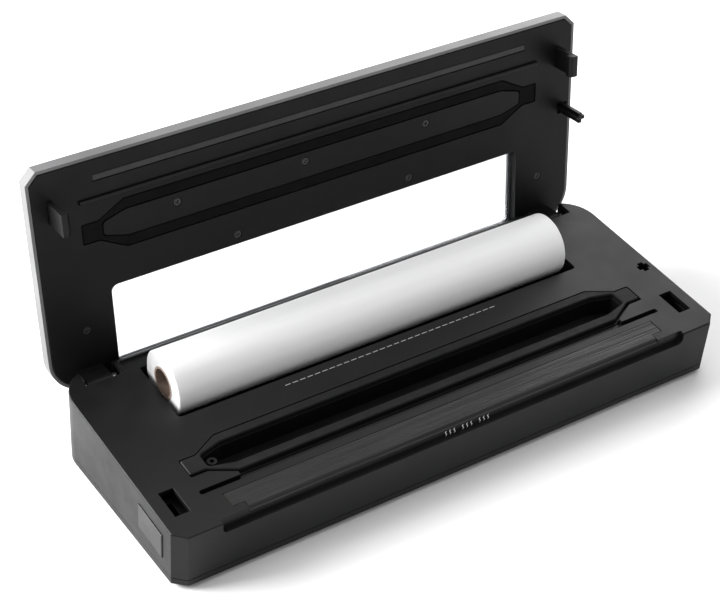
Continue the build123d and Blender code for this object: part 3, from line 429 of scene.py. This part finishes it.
print("winding the bag roll")
film = {
    "turns": 9,  # bands of film that show at each end
    "around": 96,  # columns round the roll
    "stations": 110,
    "tuck": 0.28 * mm,  # how deep the grooves between bands are
    "telescoping": 0.5 * mm,
    "slack": 0.22 * mm,
    "overlap": 0.16 * mm,  # step where the film's free edge lies
    "edgeAt": 0.31,
    "endBreak": 0.5 * mm,  # the skin stops short of each end
    "rippleSize": (9, 1.3),
    "wrinkleSize": (30, 6),
}


def woundFilm(setup):
    low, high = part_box("bag_film")
    middle = (low + high) / 2
    outer = (high.z - low.z) / 2
    inner = (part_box("roll_core")[1].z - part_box("roll_core")[0].z) / 2
    half = (high.x - low.x) / 2
    pitch = (outer - inner) / setup["turns"]
    columns = [i / setup["around"] for i in range(setup["around"] + 1)]

    def at(x, radius, share):
        return middle + Vector((x, radius * cos(share * tau), radius * sin(share * tau)))

    def skinRadius(x, share):
        lap = (share - setup["edgeAt"]) % 1.0
        turn = share * tau
        ripple, fine = [
            noise.noise(Vector((x * along, cos(turn) * across, sin(turn) * across)))
            for along, across in (setup["rippleSize"], setup["wrinkleSize"])]
        return outer - setup["overlap"] * lap - setup["slack"] * (0.35 + 0.3 * ripple + 0.1 * fine)

    def endRows(side):
        rows = []
        for k in range(4 * setup["turns"] + 1):
            row = []
            for share in columns:
                turn = k / 4 + share - 1
                radius = min(max(inner + turn * pitch, inner), outer - setup["slack"] - 0.3 * mm)
                groove = setup["tuck"] * (1 - abs(sin(pi * (turn - floor(turn)))) ** 0.35)
                stagger = setup["telescoping"] * (0.5 + 0.5 * noise.noise(Vector((turn * 1.9,
                                                                                  side * 3.1,
                                                                                  0.4))))
                row.append(at(side * (half - groove - stagger * 0.6), radius, share))
            rows.append(row)
        return rows

    leftRows, rightRows = endRows(-1), endRows(1)
    outerRows = []
    for n in range(setup["stations"] + 1):
        x = (half - setup["endBreak"]) * (2 * n / setup["stations"] - 1)
        outerRows.append([at(x, skinRadius(x, share), share) for share in columns])
    bm = bmesh.new()
    skinRows(bm, leftRows + outerRows[:1], 1)
    skinRows(bm, outerRows, 0)
    skinRows(bm, outerRows[-1:] + rightRows[::-1], 1)
    skinRows(bm, [rightRows[0], leftRows[0]], 1)
    bmesh.ops.remove_doubles(bm, verts=bm.verts, dist=0.002 * mm)
    bmesh.ops.dissolve_degenerate(bm, dist=0.001 * mm, edges=bm.edges)
    return bm


filmRoll = newPiece("film_roll", woundFilm(film), "bag_roll", smoothUnder=40)
filmRoll.data.materials.append(filmWhite)
filmRoll.data.materials.append(filmEdge)
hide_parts("bag_film")

tube = {"wall": 1.5 * mm, "around": 64, "stations": 160, "plyPitch": 62 * mm, "seam": 0.14 * mm,
        "seamWidth": 0.035, "play": 0.03 * mm, "endBreak": 0.25 * mm, "rimBreak": 0.2 * mm,
        "plyLines": (0.45, 0.5, 0.55), "plyDepth": 0.12 * mm}


def spiralTube(setup):
    low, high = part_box("roll_core")
    middle = (low + high) / 2
    outer = (high.z - low.z) / 2 - setup["play"]
    inner = outer - setup["wall"]
    half = (high.x - low.x) / 2
    endBreak, rimBreak = setup["endBreak"], setup["rimBreak"]
    columns = [i / setup["around"] for i in range(setup["around"] + 1)]

    def at(x, radius, share):
        return middle + Vector((x, radius * cos(share * tau), radius * sin(share * tau)))

    def plyMark(layer):  # the plies show as a fine line on the cut end
        return setup["plyDepth"] if layer == setup["plyLines"][1] else 0

    def ply(x, share):  # the paper strip's butt seam runs round the bore as a helix
        phase = (x / setup["plyPitch"] + share) % 1.0
        return setup["seam"] if phase < setup["seamWidth"] else 0.0

    rows = [[at(-half + endBreak, outer, s) for s in columns],
            [at(half - endBreak, outer, s) for s in columns]]
    rows.append([at(half, outer - rimBreak, s) for s in columns])
    for layer in reversed(setup["plyLines"]):
        radius = inner + setup["wall"] * layer
        rows.append([at(half - plyMark(layer), radius, s) for s in columns])
    rows.append([at(half, inner + rimBreak, s) for s in columns])
    for n in range(setup["stations"] + 1):
        x = (half - endBreak) * (1 - 2 * n / setup["stations"])
        rows.append([at(x, inner + ply(x, s), s) for s in columns])
    rows.append([at(-half, inner + rimBreak, s) for s in columns])
    for layer in setup["plyLines"]:
        radius = inner + setup["wall"] * layer
        rows.append([at(-half + plyMark(layer), radius, s) for s in columns])
    rows.append([at(-half, outer - rimBreak, s) for s in columns])
    rows.append(rows[0])
    bm = bmesh.new()
    skinRows(bm, rows)
    bmesh.ops.remove_doubles(bm, verts=bm.verts, dist=0.002 * mm)
    return bm


cardCore = newPiece("card_core", spiralTube(tube), "bag_roll", smoothUnder=35)
cardCore.data.materials.append(coreBoard)
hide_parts("roll_core")

print("screws")
lidScrew = {
    "places": [(-100, 45), (-13, 45), (75, 45), (-62, 79.3), (62, 79.3), (-165, 110), (165, 110)],
    "face": 0.8 * mm, "radius": 2.5 * mm, "head": 1.0 * mm, "shank": 1.25 * mm, "length": 6.5 * mm,
    "turnEach": 37}
baseScrew = {
    "places": [(0, 75), (-176, 100), (-168.5, 57), (-89.6, 75), (176, 100), (168.5, 57),
               (89.6, 75)],
    "deckDown": -1.5 * mm, "face": 1.7 * mm, "radius": 2.8 * mm, "head": 1.2 * mm,
    "shank": 1.47 * mm, "length": 12.2 * mm,
    "turnEach": 53}


def crossScrew(bm, setup, place):
    # head face at z = 0 looking up, with a tapered cross recess and a threaded shank below
    radius, arm, slot = setup["radius"], setup["radius"] * 0.62, setup["radius"] * 0.16
    around, thread, threadRoot, tip = 32, 0.4 * mm, 0.8, 1.2 * mm

    def ring(r, z):
        return [bm.verts.new(place @ Vector((r * cos(tau * i / around), r * sin(tau * i / around),
                                             z)))
                for i in range(around)]

    def joinRings(first, second):
        for i in range(len(first)):
            j = (i + 1) % len(first)
            bm.faces.new((first[i], first[j], second[j], second[i]))

    def cross(a, s, z):
        corners = [(a, -s), (a, s), (s, s), (s, a), (-s, a), (-s, s), (-a, s), (-a, -s), (-s, -s),
                   (-s, -a), (s, -a),
                   (s, -s)]
        return [bm.verts.new(place @ Vector((x, y, z))) for x, y in corners]

    rim = ring(radius * 0.9, 0)
    mouth = cross(arm, slot, 0)
    edges = [bm.edges.new((loop[i], loop[(i + 1) % len(loop)]))
             for loop in (rim, mouth) for i in range(len(loop))]
    bmesh.ops.triangle_fill(bm, use_beauty=True, use_dissolve=False, edges=edges)
    pocket = cross(arm * 0.7, slot * 0.7, -setup["head"] * 0.8)
    joinRings(mouth, pocket)
    bm.faces.new(pocket)
    profile = [(radius, -setup["head"] * 0.25), (radius, -setup["head"]),
               (setup["shank"], -setup["head"])]
    depth = setup["head"]
    while depth < setup["length"] - tip:
        depth += thread
        profile.append((setup["shank"] * threadRoot, -depth))
        depth += thread
        profile.append((setup["shank"], -depth))
    profile.append((setup["shank"] * 0.35, -setup["length"]))
    last = rim
    for r, z in profile:
        following = ring(r, z)
        joinRings(last, following)
        last = following
    bm.faces.new(last)


def screwSet(name, setup, body, spots, node):
    bm = bmesh.new()
    for number, spot in enumerate(spots):
        turned = Matrix.Rotation(pi, 4, "X") @ Matrix.Rotation(radians(setup["turnEach"] * number),
                                                               4, "Z")
        crossScrew(bm, setup, spot @ turned)
    piece = newPiece(name, bm, body, smoothUnder=28)
    piece.data.materials.append(screwBlack)
    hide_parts(node)
    return piece


lidSpots = [lidPlane @ Matrix.Translation((x * mm, u * mm, lidScrew["face"])) for x,
            u in lidScrew["places"]]
screwSet("lid_cross_screws", lidScrew, "lid", lidSpots, "lid_screws")
baseSpots = []
for x, u in baseScrew["places"]:
    above = deckPlane @ Vector((x * mm, u * mm, baseScrew["deckDown"]))
    baseSpots.append(Matrix.Translation((above.x, above.y, baseScrew["face"])))
screwSet("base_cross_screws", baseScrew, "base", baseSpots, "base_screws")

print("printed marks")


def inkStroke(bm, points, width, thick, place, closed=False):
    # a flat ribbon of ink along the points, lying in the plane's own x and y
    count = len(points)
    rims = []
    for i, point in enumerate(points):
        before = points[i - 1] if i or closed else point
        after = points[(i + 1) % count] if i < count - 1 or closed else point
        run = Vector((after[0] - before[0], after[1] - before[1])).normalized()
        side = Vector((-run.y, run.x)) * width / 2
        corners = [(side, thick), (-side, thick), (-side, -thick / 2), (side, -thick / 2)]
        rims.append([bm.verts.new(place @ Vector((point[0] + s.x, point[1] + s.y, z))) for s,
                     z in corners])
    for i in range(count if closed else count - 1):
        first, second = rims[i], rims[(i + 1) % count]
        for k in range(4):
            bm.faces.new((first[k], first[(k + 1) % 4], second[(k + 1) % 4], second[k]))
    if not closed:
        bm.faces.new(rims[0])
        bm.faces.new(rims[-1][::-1])


def printOn(name, strokes, body, place, ink, width, thick=0.03 * mm):
    bm = bmesh.new()
    for points, closed in strokes:
        inkStroke(bm, [(x * mm, y * mm) for x, y in points], width, thick, place, closed)
    piece = newPiece(name, bm, body)
    piece.data.materials.append(ink)
    return piece


dashLine = {"reach": 77, "row": 78.6, "dash": 3.6, "gap": 1.5, "width": 0.55 * mm}
dashes = []
start = -dashLine["reach"]
while start + dashLine["dash"] <= dashLine["reach"]:
    dashes.append(([(start + dashLine["dash"] * n / 4, dashLine["row"]) for n in range(5)], False))
    start += dashLine["dash"] + dashLine["gap"]
deckDashes = printOn("deck_dashes", dashes, "base", deckPlane, inkGrey, dashLine["width"])

heatMark = {"middle": 1.0, "low": -7.3, "high": -3.6, "spacing": 3.0, "sway": 0.5, "steps": 12,
            "faceAt": 3.5 * mm, "sets": (-12, 0, 12), "width": 0.5 * mm}
waves = []
for setMiddle in heatMark["sets"]:
    for n in (-1, 0, 1):
        points = []
        for k in range(heatMark["steps"] + 1):
            share = k / heatMark["steps"]
            middle = heatMark["middle"] + setMiddle + n * heatMark["spacing"]
            x = middle + heatMark["sway"] * sin(share * tau)
            points.append((x, heatMark["low"] + share * (heatMark["high"] - heatMark["low"])))
        waves.append((points, False))
rebateFace = (deckPlane @ Matrix.Translation((0, heatMark["faceAt"], 0))
              @ Matrix.Rotation(pi / 2, 4, "X"))
heatWaves = printOn("heat_waves", waves, "base", rebateFace, inkWhite, heatMark["width"])


def arc(radius, fromDegrees, toDegrees, count=20):
    turns = [radians(fromDegrees + (toDegrees - fromDegrees) * n / count) for n in range(count + 1)]
    return [(radius * cos(a), radius * sin(a)) for a in turns]


keyIcons = {
    "key_power": [(arc(2.6, 120, 420), False), ([(0, 3.4), (0, 2.4), (0, 1.3), (0, 0.4)], False)],
    "key_vacuum_seal": [(arc(2.9, 0, 342), True), ([(-1.4, 0.9), (0, -0.5), (1.4, 0.9)], False),
                        ([(-1.5, -1.4), (0, -1.4), (1.5, -1.4)], False)],
    "key_seal": [([(-2.7, 1.1), (0, 1.1), (2.7, 1.1)], False),
                 ([(-2.7, 0), (0, 0), (2.7, 0)], False),
                 ([(-2.7, -1.1), (0, -1.1), (2.7, -1.1)], False)],
    "key_gentle": [([(-2.8 + 5.6 * n / 16, 1.0 * sin(tau * n / 16) + offset) for n in range(17)],
                    False)
                   for offset in (1.1, -1.1)],
}
keyTop = {"height": 10.9 * mm, "row": 27.0, "spacing": 32.0, "width": 0.5 * mm}
for number, (keyName, strokes) in enumerate(keyIcons.items()):
    # seen from outside the open lid the panel reads upright, so the icons face that way
    place = lidPlane @ Matrix.Translation(
        (keyTop["spacing"] * (number - 1.5) * mm, keyTop["row"] * mm, keyTop["height"]))
    icon = printOn("icon_" + keyName[4:], strokes, keyName, place, inkWhite, keyTop["width"])

print("studio")
studio = {"floorRings": (0.001, 0.4, 1.2, 3.5, 9.0), "floorAround": 72,
          "floorColour": (0.86, 0.86, 0.86), "sky": 0.62, "aim": (0, 0, 0.05)}
bm = bmesh.new()
floorTurns = [tau * i / studio["floorAround"] for i in range(studio["floorAround"] + 1)]
skinRows(bm, [[(r * cos(a), r * sin(a), 0) for a in floorTurns] for r in studio["floorRings"]])
bmesh.ops.remove_doubles(bm, verts=bm.verts, dist=1e-5)
floorMesh = bpy.data.meshes.new("studio_floor")
bmesh.ops.recalc_face_normals(bm, faces=bm.faces)
bm.to_mesh(floorMesh)
bm.free()
studioFloor = bpy.data.objects.new("studio_floor", floorMesh)
scene.collection.objects.link(studioFloor)
material, tree, shader, spot = startFinish("floorPaper")
tree.links.new(tintBetween(tree, speckle(tree, spot, 3), shaded(studio["floorColour"], 0.99),
                           studio["floorColour"]),
               shader.inputs["Base Color"])
shader.inputs["Roughness"].default_value = 0.8
shader.inputs["Specular IOR Level"].default_value = 0.1
floorMesh.materials.append(material)

world = bpy.data.worlds.new("studioSky")
scene.world = world
world.use_nodes = True
world.node_tree.nodes["Background"].inputs["Color"].default_value = (1, 1, 1, 1)
world.node_tree.nodes["Background"].inputs["Strength"].default_value = studio["sky"]

lamps = {
    "leftBackBox": {"at": (-1.25, 0.75, 0.75), "size": (1.2, 1.0), "watts": 72},
    "overheadBox": {"at": (0.25, 0.1, 1.7), "size": (1.6, 1.2), "watts": 10},
    "rightBackBox": {"at": (1.1, 0.9, 0.9), "size": (0.9, 0.9), "watts": 8},
}
for lampName, lamp in lamps.items():
    data = bpy.data.lights.new(lampName, "AREA")
    data.shape = "RECTANGLE"
    data.size, data.size_y = lamp["size"]
    data.energy = lamp["watts"]
    box = bpy.data.objects.new(lampName, data)
    scene.collection.objects.link(box)
    box.location = lamp["at"]
    toAim = Vector(studio["aim"]) - Vector(lamp["at"])
    box.rotation_euler = toAim.to_track_quat("-Z", "Y").to_euler()

scene.view_settings.view_transform = "Standard"
scene.view_settings.look = "None"

print("camera")
shot = {"target": (-0.0221, -0.0076, 0.0834), "azimuth": -33.46, "elevation": 35.1, "roll": 0.83,
        "distance": 1.0637,
        "lens": 90.4}
cameraData = bpy.data.cameras.new("shot")
cameraData.lens = shot["lens"]
cameraData.sensor_width = 36
cameraData.sensor_fit = "HORIZONTAL"
camera = bpy.data.objects.new("shot", cameraData)
scene.collection.objects.link(camera)
swing = Matrix.Rotation(radians(shot["azimuth"]), 4, "Z")
tip = Matrix.Rotation(radians(90 - shot["elevation"]), 4, "X")
lean = Matrix.Rotation(radians(shot["roll"]), 4, "Z")
camera.matrix_world = (Matrix.Translation(shot["target"]) @ swing @ tip @ lean
                       @ Matrix.Translation((0, 0, shot["distance"])))
cameraData.clip_start, cameraData.clip_end = 0.05, 40
scene.camera = camera

print("done")
